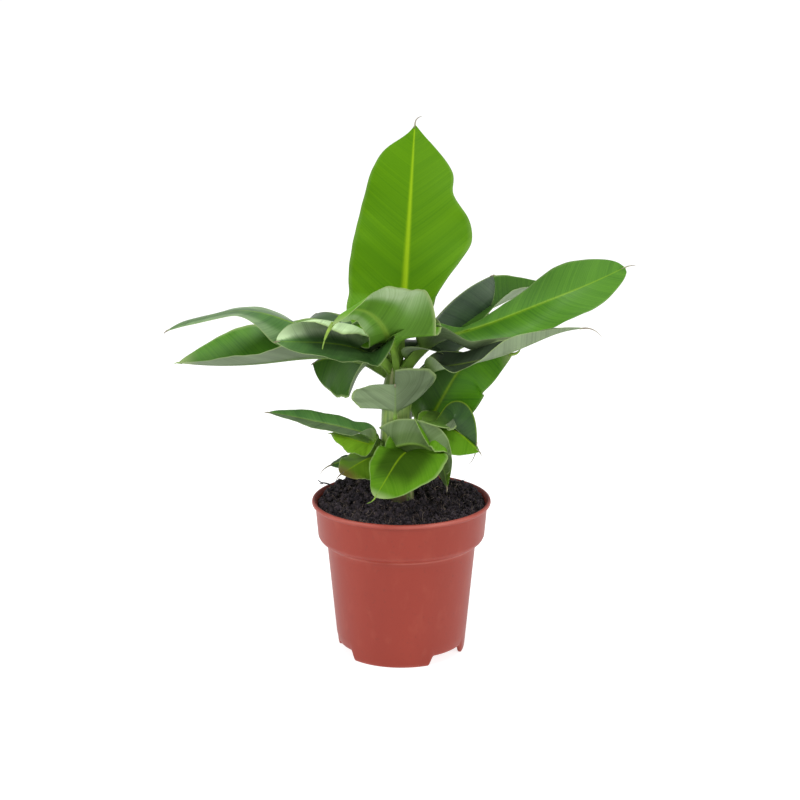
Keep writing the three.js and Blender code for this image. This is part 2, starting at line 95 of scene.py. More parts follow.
# Soil.
SOIL_RIM_Z = 101.4
SOIL_MOUND = 3.4
SOIL_LUMP = 1.1
SOIL_HEAPS = ((-33, 36, 5.5, 14), (38, 27, 3.2, 15), (4, 50, 2.5, 14))  # centre x and y, rise, reach
SOIL_EDGE = 0.35  # the gap left to the pot's wall
INNER_RADIUS = BAND_TOP_RADIUS - WALL
SOIL_RADIUS = INNER_RADIUS - SOIL_EDGE
SOIL_FOOT_RADIUS = 40.6
SOIL_FOOT_Z = 9
SOIL_RINGS = 110
SOIL_SIDES = 340
STEM_CLEARANCE = 14.5
LUMP_WAVES = 14
FIBRE_LENGTHS = (3, 12)
FIBRE_LIFT = 0.8
FIBRE_TAPER = (0.4, 0.8, 1, 1, 1, 1, 0.9, 0.7, 0.3)  # the share of the radius at each step
TWIG_FOOT = (-44, 22, 103)
TWIG_FORK = (-53, 25, 108)
TWIG_ENDS = ((-3.5, 0.5, 1.8), (-2.6, 1, -0.6))  # from the fork
TWIG_BOW = 1.6
TWIG_RADII = (0.75, 0.5, 0.4)
TWIG_STEPS = 9

# Stem stations: axis x, axis y, height and radius.
STEM_STATIONS = (
    (-2, 2, 97, 12),
    (-2.3, 2, 103, 11.4),
    (-2.8, 1.4, 114, 11),
    (-3.3, 1, 135, 10.8),
    (-3.4, 0.6, 160, 10.3),
    (-3, 0.2, 180, 9.8),
    (-2.4, 0.2, 190, 8.4),
    (-2, 0.4, 196, 5.5),
)
STEM_ROWS = 200
STEM_SIDES = 288
STEM_EASING = 12  # rows on either side in the radius's running mean
STEM_OVAL = 0.02
STEM_LEAST = 0.97
SHEATH_LOBES = 3
SHEATH_TWIST = 0.009  # lobes for each millimetre of height
SHEATH_RELIEF = 0.085
SHEATH_EDGE = 0.93  # the share of a lobe where its free edge steps back
SHEATH_STEP = 0.07
SCORCH_HEIGHT = 30
STAIN_HEIGHT = 14

# The leaf rule's own numbers.
MIDRIB_STEPS = 240
OPENING_SHARE = 0.22  # over this share of the blade the folded stalk opens out
CHANNEL_SHARE = 0.25  # and over this one its own width runs out
STALK_FOLD = 62  # degrees
STALK_CURL = 28
LEAST_TURN = 1e-3  # radians
LEAST_HALF_WIDTH = 0.25
RIPPLE_OFFSET = 1.7  # radians
FRILL_HEIGHT = 0.16  # as a share of the ripple's, and so is the pace
FRILL_PACE = 3.7
BLADE_ROWS = 150
BLADE_COLUMNS = (
    0, 0.016, 0.034, 0.056, 0.085, 0.125, 0.18, 0.25, 0.33, 0.42, 0.51, 0.6, 0.69, 0.78, 0.86, 0.92, 0.96,
    0.985, 1,
)  # from the midrib to the margin
BLADE_THICKNESS = 0.5
MARGIN_THINNING = 0.75  # as a share of the thickness
STALK_THICKENING = 0.75
STALK_FADE = 0.8  # as a share of the stalk
RIB_WIDTH = 0.7  # the growths are for each millimetre of the leaf's length
RIB_WIDTH_GROWTH = 0.011
RIB_HEIGHT = 0.35
RIB_HEIGHT_GROWTH = 0.010
RIB_SINK = 0.3
LINE_WIDTH = 0.4
LINE_WIDTH_GROWTH = 0.018
VEIN_SLANT = 0.6
VEIN_BOW = 0.004
UV_SCALE = 100  # millimetres for each unit of a UV map
DRIP_STEPS = 10
DRIP_OVERLAP = 2.5


def half(fold, curl=0, share=1, sweep=0):
    """One half of a blade: its fold off the midrib and further curl in degrees and its share of the width,
    each one number or keyed from base to tip, and how far its margin is swept towards the tip.
    """
    return dict(fold=np.radians(fold), curl=np.radians(curl), share=share, sweep=sweep)


def leaf(name, base, length, width, heading, pitch, left, right, **shape):
    """A leaf by its base, its size and its heading, pitch and roll in degrees, keyed from base to tip.

    stalk is the stalk's share of the length, channel its half width. blunt and point shape the outline. wave
    and waves are the height and number of the margin's ripples. The thread at the tip is drip long, has the
    radius tip, rises by droop and turns by way degrees, and is tan if dried. Or else it is green and the
    blade's end is pale. tone lightens the look, partly for the leaf's own green and partly as painted light
    and shade, and bloom adds pale wax colour, partly the glaucous coat and partly painted sheen where the
    face catches the light, each as (upper, under) with one number for a face or two for its left and right
    half.
    The pale wax colour starts at bloom_from off the midrib and bloom_start along the leaf.
    rim lightens the outer part and the end as painted light, rib and edge colour the midrib and the margin,
    and brown the end.
    """
    made = dict(
        name=name, base=base, length=length, width=width, left=left, right=right, roll=0,
        stalk=0.12, channel=3.2, blunt=0.6, point=0.8, wave=1, waves=3, drip=3, droop=-40, way=0, tip=0.55,
        look="mature", tone=(1, 1), bloom=(0, 0), bloom_from=0.35, bloom_start=0, rim=0, rib=0.6, edge=0.8,
        brown=0, dried=True,
    )
    made.update(shape)
    made.update(heading=np.radians(heading), pitch=np.radians(pitch), roll=np.radians(made["roll"]))
    return made


LEAVES = (
    leaf("upright", base=(-2.5, 4, 190), length=164, width=92,
        heading=(40, 58, 64, 70, 76), pitch=(80, 83, 82, 80, 76),
        left=half((24, 12, 6, 5), share=(0.9, 0.9, 0.89, 0.87, 0.83, 0.83, 0.85, 0.88, 0.98, 1, 0.3)),
        right=half(
            (22, 14, 10, 10), share=(0.55, 0.58, 0.61, 0.74, 0.94, 1.13, 1.12, 0.93, 1.08, 0.94, 0.6)),
        channel=6.5, blunt=0.45, point=0.78, wave=1.2, drip=8, droop=-62, way=-95, look="young",
        tone=(0.86, 0.86), rib=1, edge=0.2),
    leaf("front", base=(-3, -4, 192), length=98, width=82,
        heading=(255, 243, 232, 228, 226), pitch=(70, 58, 42, 10, -45),
        left=half((-60, 2, 0, 0), share=(0.75, 0.84, 0.97, 1.05, 1.1)),
        right=half((20, -40, -50, -40), share=(0.4, 0.28, 0.28)),
        roll=(-15, -30, -32, -32, -25), stalk=0.15, channel=7, blunt=0.28, point=0.6, wave=2, drip=16,
        droop=-30, tip=1.3, look="young", tone=(1.1, 1.25), bloom=(0, (1.5, 0.5)), bloom_start=0.38,
        rib=1.5, edge=1, dried=False),
    leaf("left_dark", base=(-7, -3, 192), length=91, width=70,
        heading=(208, 212, 208, 200), pitch=(52, 24, 9, 6),
        left=half((-10, -20, -18), curl=(0, 20, 20), share=(1, 0.9, 0.85)),
        right=half((35, 30, 25, 30), curl=(60, 190, 222, 215, 150, 40), share=(0.8, 0.8, 0.9, 0.8, 0.5)),
        stalk=0.16, channel=4.5, blunt=0.5, point=0.55, drip=2, tone=((0.75, 0.85), 0.95),
        bloom=((0, 1.8), (0.2, 0.5)), bloom_from=0.1, rim=0.9, rib=0.3),
    leaf("left_long", base=(-6, 2, 193), length=163, width=62,
        heading=(168, 175, 184, 190, 190), pitch=(62, 42, 14, 5, 20, 11, -9, -13, -26),
        left=half((-30, -45, -52, -18, 8, 9, 4), share=(0.6, 0.52, 0.55, 0.75, 0.7, 0.6, 0.6)),
        right=half((-30, -30, -15, -12, -14, -10), share=(1, 1, 0.9, 0.6, 0.55, 0.6)),
        roll=(0, 5, 8, 8), stalk=0.16, channel=4, waves=2, tone=(1.75, 1.9), bloom=(0.35, 0), rib=0.35),
    leaf("left_low", base=(-6, 1, 187), length=146, width=74,
        heading=(166, 170, 178, 184, 188), pitch=(34, 5, -8, -1, 8),
        left=half((40, 32, 28, 26), share=(0.8, 0.8, 0.78, 0.8)),
        right=half((40, 42, 42, 40, 30), share=(0.8, 0.85, 0.85, 0.85, 0.97, 1.08, 0.95)),
        stalk=0.09, channel=4.5, tip=0.6, look="fresh", tone=(1.2, 0.7), dried=False),
    leaf("back_left", base=(-7, 3, 187), length=62, width=54,
        heading=(182, 160, 150, 150), pitch=(42, 16, -8, -30),
        left=half((-65, -75, -65)), right=half(10),
        stalk=0.2, channel=4.2, blunt=0.35, point=0.45, wave=0.8, drip=2, look="fresh", tone=(0.58, 0.8)),
    leaf("right_big", base=(2, 0, 191), length=166, width=68,
        heading=(12, 8, 12, 12, 12), pitch=(58, 18, 19, 19, 24),
        left=half((20, 0, 2, 5), share=(0.15, 0.2, 0.38, 0.6, 0.92, 1.18, 1.25)),
        right=half(
            (-40, -82, -72, -24, -6), curl=(100, 165, 128, 30, 0),
            share=(1.1, 1.25, 1.2, 1, 0.82, 0.82, 0.8)),
        roll=(0, -5, -12, -16, -12), channel=5.2, point=0.5, wave=0.8, drip=8, look="fresh",
        tone=(1.15, 0.62), rib=0.45, edge=0.35),
    leaf("back_right", base=(3, 3, 192), length=97, width=62,
        heading=(34, 40, 40, 36), pitch=(64, 44, 26, 12),
        left=half((-30, -45, -45), share=(0.6, 0.6, 0.5)),
        right=half((-50, -76, -80, -75), share=(0.9, 1, 1)),
        stalk=0.08, channel=3.8, blunt=0.45, point=0.5, wave=0.8, drip=2, look="dark", tone=(1.8, 1.1),
        rib=0.35),
    leaf("right_low", base=(3, -4, 184), length=131, width=34,
        heading=(345, 339, 338, 336), pitch=(44, 17, 16, 24, 26, 10),
        left=half((40, 40, 15), share=0.7),
        right=half((-15, -10, 10, 70, 80, 60), share=(1, 0.95, 0.5, 0.35)),
        stalk=0.14, channel=4.2, wave=0.6, drip=14, droop=-60, look="dark", tone=(0.6, 0.84), rib=0.2),
    leaf("right_broad", base=(4, 5, 130), length=110, width=56,
        heading=(366, 360, 352, 345, 345), pitch=(62, 62, 61, 61, 62, 54, 22, 16, 8),
        left=half(0, share=(0.8, 0.9, 0.7, 0.12, 0.1)), right=half(5, share=(0.9, 0.85, 0.85, 0.95, 0.95)),
        roll=(-50, -85, -85, -70), stalk=0.22, wave=0.4, drip=8, droop=70, tip=1.2, look="fresh",
        tone=((0.55, 1.4), 0.8), rib=0.5, edge=0.4, dried=False),
    leaf("right_droop", base=(6, -6, 128), length=95, width=42,
        heading=(352, 354, 345, 330, 320), pitch=(64, 60, 54, -58, -94),
        left=half((-30, -35, -45)), right=half((-50, -50, -60)),
        stalk=0.32, drip=15, tone=(1, 0.5)),
    leaf("shield", base=(-4, -9, 154), length=36, width=56, heading=(270, 270, 268), pitch=(84, 78, 56),
        left=half((12, 15, 15), share=(1.1, 1, 0.75), sweep=14),
        right=half(8, share=(1.05, 1.05, 0.85), sweep=-1),
        stalk=0.3, blunt=0.5, point=0.4, drip=1, tone=((0.66, 0.97), (0.66, 0.97)), rib=0.4),
    leaf("low_narrow", base=(-12, -2, 136), length=85, width=20,
        heading=(175, 180, 178, 182), pitch=(70, 22, 12, 12, 9),
        left=half((-12, -12, -5)), right=half((25, 30, 30)),
        stalk=0.15, wave=0.4, tone=((0.95, 2.4), 1.1), bloom=((0.4, 0), 0.3), bloom_from=-0.3, rib=0.35),
    leaf("low_lime", base=(-11, -4, 142), length=37, width=24, heading=(185, 182, 180), pitch=(8, 18, 14),
        left=half(-35), right=half(10),
        wave=0.8, drip=2, tip=0.6, look="lime", tone=(1.43, 1.43), dried=False),
    leaf("low_tan", base=(-9, -7, 137), length=36, width=40, heading=(195, 208, 215), pitch=(5, -20, -20),
        left=half(-20), right=half(0),
        drip=5, look="lime", tone=(0.85, 0.85), brown=0.7),
    leaf("low_tiny", base=(-12, 0, 130), length=36, width=18, heading=(178, 182, 190), pitch=(8, 0, -20),
        left=half(-30), right=half(10),
        stalk=0.15, wave=0.5, drip=9),
    # The low tone paints the shadow that low_arch casts over this leaf, and rim paints the light on its outer
    # part and end.
    leaf("low_front", base=(1, -9, 131), length=64, width=58,
        heading=(300, 256, 232, 215), pitch=(64, 8, -40, -50),
        left=half(8, share=(1.1, 1.15, 1.2, 1.2, 1.1)), right=half(8, share=(0.6, 0.6, 0.5)),
        roll=(0, 6, 8), stalk=0.15, blunt=0.5, point=0.55, wave=1.2, drip=7, droop=35, way=-35, tip=0.6,
        look="young", tone=(0.28, 0.28), rim=1.9, rib=0.5, edge=0.6, dried=False),
    leaf("low_arch", base=(-12, -8, 136), length=70, width=34,
        heading=(290, 345, 326, 300), pitch=(44, 14, -42, -80),
        left=half(5), right=half(30, share=(1, 0.9, 0.9), sweep=-10),
        roll=(60, 80, 80), stalk=0.08, blunt=0.3, point=0.55, look="lime", tone=(0.65, 0.65),
        bloom=(0, 0.4)),
    leaf("low_right", base=(6, -6, 145), length=58, width=44,
        heading=(350, 335, 338), pitch=(56, 20, -28, -42),
        left=half(-10), right=half((-30, -30, -40)),
        stalk=0.2, look="young", tone=(0.9, 0.9)),
    leaf("back_high", base=(-1, 6, 190), length=134, width=56,
        heading=(92, 91, 90, 92), pitch=(72, 48, 20, -12),
        left=half((10, 15, 10)), right=half((10, 15, 10)),
        stalk=0.16, channel=5, wave=2, look="fresh"),
    leaf("back_mid", base=(-6, 4, 188), length=112, width=52,
        heading=(128, 122, 120, 118), pitch=(40, 24, 2, -20),
        left=half((-15, -20, -15)), right=half((-15, -20, -15)),
        stalk=0.18, wave=2, drip=5),
    leaf("back_steep", base=(1, 6, 189), length=139, width=50,
        heading=(50, 39, 38, 37), pitch=(53, 22, 10, 14, 8),
        left=half((-10, 0, 40, 42, 36), share=(0.4, 0.5, 1, 1.15)), right=half((-10, 0, 32, 34, 30)),
        stalk=0.18, look="fresh", tone=(0.75, 0.9)),
    leaf("back_low", base=(1, 8, 141), length=74, width=38, heading=(80, 74, 70), pitch=(48, 20, -20),
        left=half((-12, -15, -12)), right=half((-12, -15, -12)),
        stalk=0.18, wave=2, drip=5),
)


# ---- small tools ----


def smooth(x):
    """0 below 0, 1 above 1 and between them the S-shaped rise c^2 (3 - 2 c)."""
    c = np.clip(x, 0, 1)
    return c * c * (3 - 2 * c)


def rise(x, start, reach):
    """The smooth rise from 0 at start to 1 one reach further on."""
    return smooth((x - start) / reach)


def along(keys, t):
    """The values at t (0 to 1) of the Catmull-Rom curve through evenly spaced keys."""
    keys = np.atleast_1d(np.asarray(keys, float))
    last = len(keys) - 1
    if last == 0:
        return np.full_like(t, keys[0])
    x = np.clip(t, 0, 1) * last
    i = np.minimum(x.astype(int), last - 1)
    f = x - i
    a, b, c, d = (keys[np.clip(i + k, 0, last)] for k in (-1, 0, 1, 2))
    return 0.5 * (2 * b + (c - a) * f + (2 * a - 5 * b + 4 * c - d) * f**2 + (3 * b - a - 3 * c + d) * f**3)


def unit(vectors):
    """The vectors brought to length 1."""
    return vectors / np.maximum(np.linalg.norm(vectors, axis=-1, keepdims=True), 1e-12)


def lumps(points, scale, seed):
    """A smooth random field of about -1 to 1 with lumps of about one scale: the sum of sine waves in seeded
    directions, divided by the root of half their number.
    """
    rng = np.random.default_rng(seed)
    directions = unit(rng.normal(size=(LUMP_WAVES, points.shape[-1])))
    directions = directions * rng.uniform(0.6, 1.5, (LUMP_WAVES, 1))
    phases = rng.uniform(0, CIRCLE, LUMP_WAVES)
    field = np.sin(points @ directions.T * (CIRCLE / scale) + phases)
    return field.sum(-1) / math.sqrt(LUMP_WAVES / 2)


def ring_quads(rings, sides):
    """The quads between rings of points, each ring closed on itself."""
    r = np.arange(rings - 1)[:, None]
    c = np.arange(sides)[None, :]
    after = (c + 1) % sides
    corners = [r * sides + c, r * sides + after, (r + 1) * sides + after, (r + 1) * sides + c]
    return np.stack(corners, -1).reshape(-1, 4)


def closed_rings(rings, sides):
    """The quads between the rings of a closed body and its cap at each end."""
    caps = [list(range(sides - 1, -1, -1)), list(range((rings - 1) * sides, rings * sides))]
    return ring_quads(rings, sides).tolist() + caps


def turned(r, z, angle):
    """Points at the radii r and heights z round the upright axis."""
    return np.stack(np.broadcast_arrays(r * np.cos(angle), r * np.sin(angle), z), -1)


def added(name, data):
    """A new object in the scene for this mesh, lamp or camera."""
    thing = bpy.data.objects.new(name, data)
    bpy.context.scene.collection.objects.link(thing)
    return thing


def mesh_piece(name, points, faces, materials, replaced=()):
    """A smooth piece from points in millimetres, riding on the plant's one body."""
    mesh = bpy.data.meshes.new(name)
    mesh.from_pydata((np.asarray(points).reshape(-1, 3) * MM).tolist(), [], [list(face) for face in faces])
    mesh.validate()
    mesh.shade_smooth()
    piece = added(name, mesh)
    for material in materials:
        mesh.materials.append(material)
    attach(piece, "root")
    if replaced:
        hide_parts(*replaced)
    return piece


def set_marks(piece, name, *four):
    """Stores four numbers for each point as a colour attribute that the material reads."""
    attribute = piece.data.attributes.new(name, "FLOAT_COLOR", "POINT")
    marks = np.stack(np.broadcast_arrays(*four), -1)
    attribute.data.foreach_set("color", marks.astype(np.float32).ravel())


def set_uv(piece, u, v):
    """Stores a pair of numbers for each point as the piece's own UV map."""
    corners = np.empty(len(piece.data.loops), int)
    piece.data.loops.foreach_get("vertex_index", corners)
    layer = piece.data.uv_layers.new(name="surface")
    uv = np.stack(np.broadcast_arrays(u, v), -1).reshape(-1, 2)
    layer.data.foreach_set("uv", uv.astype(np.float32)[corners].ravel())


def tubes(paths, radii, sides):
    """Many tubes as one mesh, from paths [n, steps, 3] and radii [n, steps], each ring square to its path."""
    forward = unit(np.gradient(paths, axis=1))
    helper = np.where(np.abs(forward[..., 2:3]) < 0.9, [0.0, 0.0, 1.0], [1.0, 0.0, 0.0])
    across = unit(np.cross(forward, helper))
    up = np.cross(across, forward)
    angle = np.arange(sides) * (CIRCLE / sides)
    ring = np.cos(angle)[:, None] * across[..., None, :] + np.sin(angle)[:, None] * up[..., None, :]
    points = paths[..., None, :] + radii[..., None, None] * ring
    count, steps = paths.shape[:2]
    starts = np.arange(count) * steps * sides
    faces = (ring_quads(steps, sides)[None] + starts[:, None, None]).reshape(-1, 4).tolist()
    for first in starts.tolist():
        faces.append(list(range(first + sides - 1, first - 1, -1)))
        faces.append(list(range(first + (steps - 1) * sides, first + steps * sides)))
    return points, faces


# ---- materials ----


class Nodes:
    """A material's node tree, with short calls that return the output socket of each new node."""

    def __init__(self, name):
        self.material = bpy.data.materials.new(name)
        self.material.use_nodes = True
        self.tree = self.material.node_tree
        self.shader = self.tree.nodes["Principled BSDF"]

    def put(self, kind, inputs=(), out=0, **settings):
        """A new node's output, with its inputs fed and its settings made."""
        node = self.tree.nodes.new(kind)
        for key, value in settings.items():
            setattr(node, key, value)
        for key, value in dict(inputs).items():
            self.feed(node.inputs[key], value)
        return node.outputs[out]

    def feed(self, socket, value):
        """Links an input to another node's output, or sets it to a plain value."""
        if isinstance(value, bpy.types.NodeSocket):
            self.tree.links.new(value, socket)
        else:
            socket.default_value = value

    def here(self):
        """The place in the piece's own coordinates."""
        return self.put("ShaderNodeTexCoord", out="Object")

    def surface(self):
        """The place on the piece's UV map."""
        return self.put("ShaderNodeUVMap", uv_map="surface")

    def marks(self, name):
        """The first three numbers of a stored attribute."""
        stored = self.put("ShaderNodeAttribute", attribute_name=name)
        return self.put("ShaderNodeSeparateColor", {0: stored}).node.outputs[:3]

    def mix(self, factor, a, b, blend="MIX"):
        """The colour a, with b over it by factor."""
        a, b = ((*colour, 1) if isinstance(colour, tuple) else colour for colour in (a, b))
        return self.put("ShaderNodeMix", {0: factor, 6: a, 7: b}, 2, data_type="RGBA", blend_type=blend)

    def plus(self, a, b):
        return self.put("ShaderNodeMath", {0: a, 1: b}, operation="ADD")

    def times(self, a, b, clamp=False):
        return self.put("ShaderNodeMath", {0: a, 1: b}, operation="MULTIPLY", use_clamp=clamp)

    def ramp(self, value, low, high):
        """value mapped so that low becomes 0 and high 1, clamped."""
        return self.put("ShaderNodeMapRange", {0: value, 1: low, 2: high})

    def noise(self, vector, scale, detail):
        return self.put("ShaderNodeTexNoise", {"Vector": vector, "Scale": scale, "Detail": detail})

    def place(self, vector, scale, location=(0, 0, 0)):
        """The place, stretched by scale and moved by location."""
        return self.put("ShaderNodeMapping", {"Vector": vector, "Location": location, "Scale": scale})

    def bump(self, height, strength, distance):
        inputs = {"Strength": strength, "Distance": distance, "Height": height}
        self.feed(self.shader.inputs["Normal"], self.put("ShaderNodeBump", inputs))

    def finish(self, colour, roughness, **constants):
        """The finished material, with further shader inputs by name."""
        self.feed(self.shader.inputs["Base Color"], colour)
        self.feed(self.shader.inputs["Roughness"], roughness)
        for key, value in constants.items():
            self.shader.inputs[key.replace("_", " ")].default_value = value
        return self.material


# Leaf finishes as linear colours: the blade above, its darker streaks and its underside. wax is the even
# glaucous coat of the underside. sky_sheen and under_sky_sheen are each face's painted sheen where it faces
# up, standing for the top light reflected off the waxy surface. shine is the upper face's roughness and gloss
# its specular level.
LOOKS = {
    # young: the young leaves' lime green, brightened as painted light shining through the blade.
    "young": dict(
        top=(0.105, 0.27, 0.002), deep=(0.074, 0.215, 0.002), under=(0.085, 0.215, 0.012),
        wax=0.05, sky_sheen=0.06, under_sky_sheen=0.85, shine=0.5, gloss=0.05,
    ),
    "fresh": dict(
        top=(0.062, 0.19, 0.005), deep=(0.036, 0.128, 0.005), under=(0.12, 0.2, 0.07),
        wax=0.6, sky_sheen=0.06, under_sky_sheen=0.3, shine=0.42, gloss=0.16,
    ),
    "mature": dict(
        top=(0.032, 0.092, 0.014), deep=(0.019, 0.058, 0.012), under=(0.14, 0.205, 0.1),
        wax=0.7, sky_sheen=0.05, under_sky_sheen=0.25, shine=0.33, gloss=0.26,
    ),
    # dark: a darker copy of the mature colours, partly painted shade.
    "dark": dict(
        top=(0.022, 0.046, 0.018), deep=(0.013, 0.028, 0.013), under=(0.19, 0.24, 0.15),
        wax=0.8, sky_sheen=0.12, under_sky_sheen=0.2, shine=0.3, gloss=0.35,
    ),
    "lime": dict(
        top=(0.118, 0.25, 0.004), deep=(0.085, 0.19, 0.004), under=(0.12, 0.24, 0.03),
        wax=0.2, sky_sheen=0.04, under_sky_sheen=0.2, shine=0.45, gloss=0.1,
    ),
}
TONE_SCALE = 4  # finish holds the tone over this, so that it stays between 0 and 1
UNDER_STREAK = 0.66  # as a share of the underside's colour
UNDER_ROUGHNESS = 0.52
UNDER_GLOSS = 0.15
FINE_VEINS = (0.6, 75, 1)  # how often the streaks change off the midrib and along it
BROAD_VEINS = (0.5, 9, 1)
MIDRIB_COLOUR = (0.33, 0.51, 0.010)
UNDER_RIB_COLOUR = (0.165, 0.30, 0.030)
MARGIN_COLOUR = (0.26, 0.36, 0.13)
WAX_AND_SHEEN_COLOUR = (0.30, 0.40, 0.22)
BROWN_COLOUR = (0.15, 0.075, 0.03)
STALK_GREEN = (0.135, 0.245, 0.034)
STALK_BANDS = 1.6  # as a share of the stalk's green
SHEATH_GREEN = (0.095, 0.185, 0.028)
SHEATH_YELLOW = (0.24, 0.335, 0.075)
SHEATH_EDGE_COLOUR = (0.42, 0.44, 0.2)
SOIL_STAIN = (0.040, 0.032, 0.024)
POT_RED = ((0.25, 0.026, 0.013), (0.285, 0.033, 0.017))
POT_SPECKS = (0.17, 0.026, 0.016)
POT_SCUFFS = (0.34, 0.060, 0.034)
POT_PALE_CORNERS = (0.46, 0.13, 0.10)
PEAT_SPECK = 1.9  # as a share of the peat's light colour


def leaf_material(name, look, upper):
    """One face of a blade. Its UV map runs along the veins, marks hold midrib, margin, stalk and dry patch,
    and finish holds the leaf's tone, how far the face points up and its pale wax setting. The tone is partly
    the leaf's own green and partly painted light and shade, and the pale wax setting is partly the glaucous
    coat and partly painted sheen.

    Streaked green, mixed with wax and with a painted sheen where the face points up, and multiplied by the
    tone, lies under midrib, stalk, margin and dry patch.
    """
    n = Nodes(name)
    midrib, margin, stalk = n.marks("marks")
    dry = n.put("ShaderNodeAttribute", out="Alpha", attribute_name="marks")
    tone, sky_sheen, bloom = n.marks("finish")
    fine = n.noise(n.place(n.surface(), FINE_VEINS), 1.0, 2.0)
    bands = n.noise(n.place(n.surface(), BROAD_VEINS, (3, 1, 0)), 1.0, 3.0)
    clouds = n.noise(n.here(), 30.0, 4.0)
    streaks = n.plus(n.times(fine, 0.4), n.times(bands, 0.6))
    base = look["top"] if upper else look["under"]
    deep = look["deep"] if upper else tuple(UNDER_STREAK * c for c in base)
    colour = n.mix(n.ramp(streaks, 0.39, 0.61), deep, base)
    # Painted sheen: pale wax colour where the face points up, standing for the top light reflected off it,
    # then the leaf's own pale wax setting and the underside's even wax.
    wax = n.times(sky_sheen, look["sky_sheen"] if upper else look["under_sky_sheen"])
    wax = n.plus(n.plus(wax, bloom), 0 if upper else look["wax"])
    patchy = n.plus(n.times(n.ramp(clouds, 0.35, 0.65), 0.25), n.ramp(streaks, 0.25, 0.75))
    colour = n.mix(n.times(wax, patchy, clamp=True), colour, WAX_AND_SHEEN_COLOUR)
    # The tone, partly the leaf's own green and partly painted light and shade, scales the whole face.
    colour = n.mix(1.0, colour, n.times(tone, TONE_SCALE), "MULTIPLY")
    colour = n.mix(midrib, colour, MIDRIB_COLOUR if upper else UNDER_RIB_COLOUR)
    stalk_colour = n.mix(n.ramp(bands, 0.35, 0.65), STALK_GREEN, tuple(STALK_BANDS * c for c in STALK_GREEN))
    colour = n.mix(stalk, colour, stalk_colour)
    colour = n.mix(margin, colour, MARGIN_COLOUR)
    colour = n.mix(n.times(dry, n.ramp(clouds, 0.35, 0.55)), colour, BROWN_COLOUR)
    n.bump(n.plus(n.times(fine, 0.4), n.times(bands, 0.7)), 0.3, 0.0006)
    roughness = n.plus(n.times(clouds, 0.16), (look["shine"] if upper else UNDER_ROUGHNESS) - 0.08)
    return n.finish(colour, roughness, Specular_IOR_Level=look["gloss"] if upper else UNDER_GLOSS)


def pot_material():
    """Moulded plastic: brick red with faint flow marks, dark specks, pale scuffs and paler patches along three
    edges.
    """
    n = Nodes("pot_plastic")
    flow = n.noise(n.place(n.here(), (1, 1, 0.35)), 22.0, 4.0)
    specks = n.noise(n.here(), 420.0, 2.0)
    grain = n.noise(n.here(), 900.0, 2.0)
    scuffs = n.noise(n.place(n.here(), (1, 1, 0.5)), 120.0, 5.0)
    pale_corners = n.marks("marks")[0]
    colour = n.mix(n.ramp(flow, 0.3, 0.7), *POT_RED)
    colour = n.mix(n.times(n.ramp(specks, 0.6, 0.75), 0.4), colour, POT_SPECKS)
    colour = n.mix(n.times(n.ramp(scuffs, 0.55, 0.72), 0.3), colour, POT_SCUFFS)
    colour = n.mix(n.times(pale_corners, n.ramp(flow, 0.35, 0.75)), colour, POT_PALE_CORNERS)
    n.bump(n.plus(n.times(grain, 0.25), flow), 0.10, 0.0006)
    return n.finish(colour, n.plus(n.times(flow, 0.14), 0.36), Specular_IOR_Level=0.33)


def peat_material(name, dark, light):
    """Dull crumbly peat between two colours, with light specks."""
    n = Nodes(name)
    clods = n.noise(n.here(), 260.0, 6.0)
    crumbs = n.noise(n.here(), 900.0, 4.0)
    colour = n.mix(n.ramp(clods, 0.35, 0.7), dark, light)
    colour = n.mix(n.ramp(crumbs, 0.62, 0.78), colour, tuple(PEAT_SPECK * c for c in light))
    n.bump(n.plus(clods, crumbs), 0.9, 0.0012)
    return n.finish(colour, 0.95, Specular_IOR_Level=0.25)


def sheath_material():
    """Rolled leaf sheaths: streaks from green to yellow and a little wax, under the marks' pale edges, dry
    brown patches low down and stain of soil.
    """
    n = Nodes("leaf_sheath")
    edge, low, stained = n.marks("marks")
    streaks = n.noise(n.place(n.surface(), (40, 3, 1)), 1.0, 4.0)
    patches = n.noise(n.here(), 95.0, 4.0)
    colour = n.mix(n.ramp(streaks, 0.35, 0.68), SHEATH_GREEN, SHEATH_YELLOW)
    colour = n.mix(n.times(n.ramp(patches, 0.5, 0.75), 0.2), colour, WAX_AND_SHEEN_COLOUR)
    colour = n.mix(n.times(edge, 0.75), colour, SHEATH_EDGE_COLOUR)
    colour = n.mix(n.times(low, n.ramp(patches, 0.38, 0.55)), colour, BROWN_COLOUR)
    colour = n.mix(n.times(stained, n.ramp(patches, 0.2, 0.5)), colour, SOIL_STAIN)
    n.bump(streaks, 0.3, 0.0008)
    return n.finish(colour, n.plus(n.times(patches, 0.2), 0.34), Specular_IOR_Level=0.45)


def plain_material(name, light, dark, scale, roughness):
    """A surface that varies between two colours over patches of one noise scale."""
    n = Nodes(name)
    tone = n.noise(n.here(), scale, 3.0)
    return n.finish(n.mix(n.ramp(tone, 0.35, 0.7), dark, light), roughness)


# ---- leaves ----


def pointing(heading, pitch):
    """Unit vectors by their heading round from +X and their pitch above the level."""
    return np.stack([np.cos(pitch) * np.cos(heading), np.cos(pitch) * np.sin(heading), np.sin(pitch)], -1)


def direction(leaf, t):
    """The midrib's direction at each t."""
    return pointing(along(leaf["heading"], t), along(leaf["pitch"], t))


def midrib(leaf):
    """The midrib's points, each one step on from the last along the leaf's heading and pitch."""
    t = (np.arange(MIDRIB_STEPS) + 0.5) / MIDRIB_STEPS
    steps = direction(leaf, t) * leaf["length"] / MIDRIB_STEPS
    return np.vstack([np.zeros(3), np.cumsum(steps, 0)]) + np.array(leaf["base"], float)


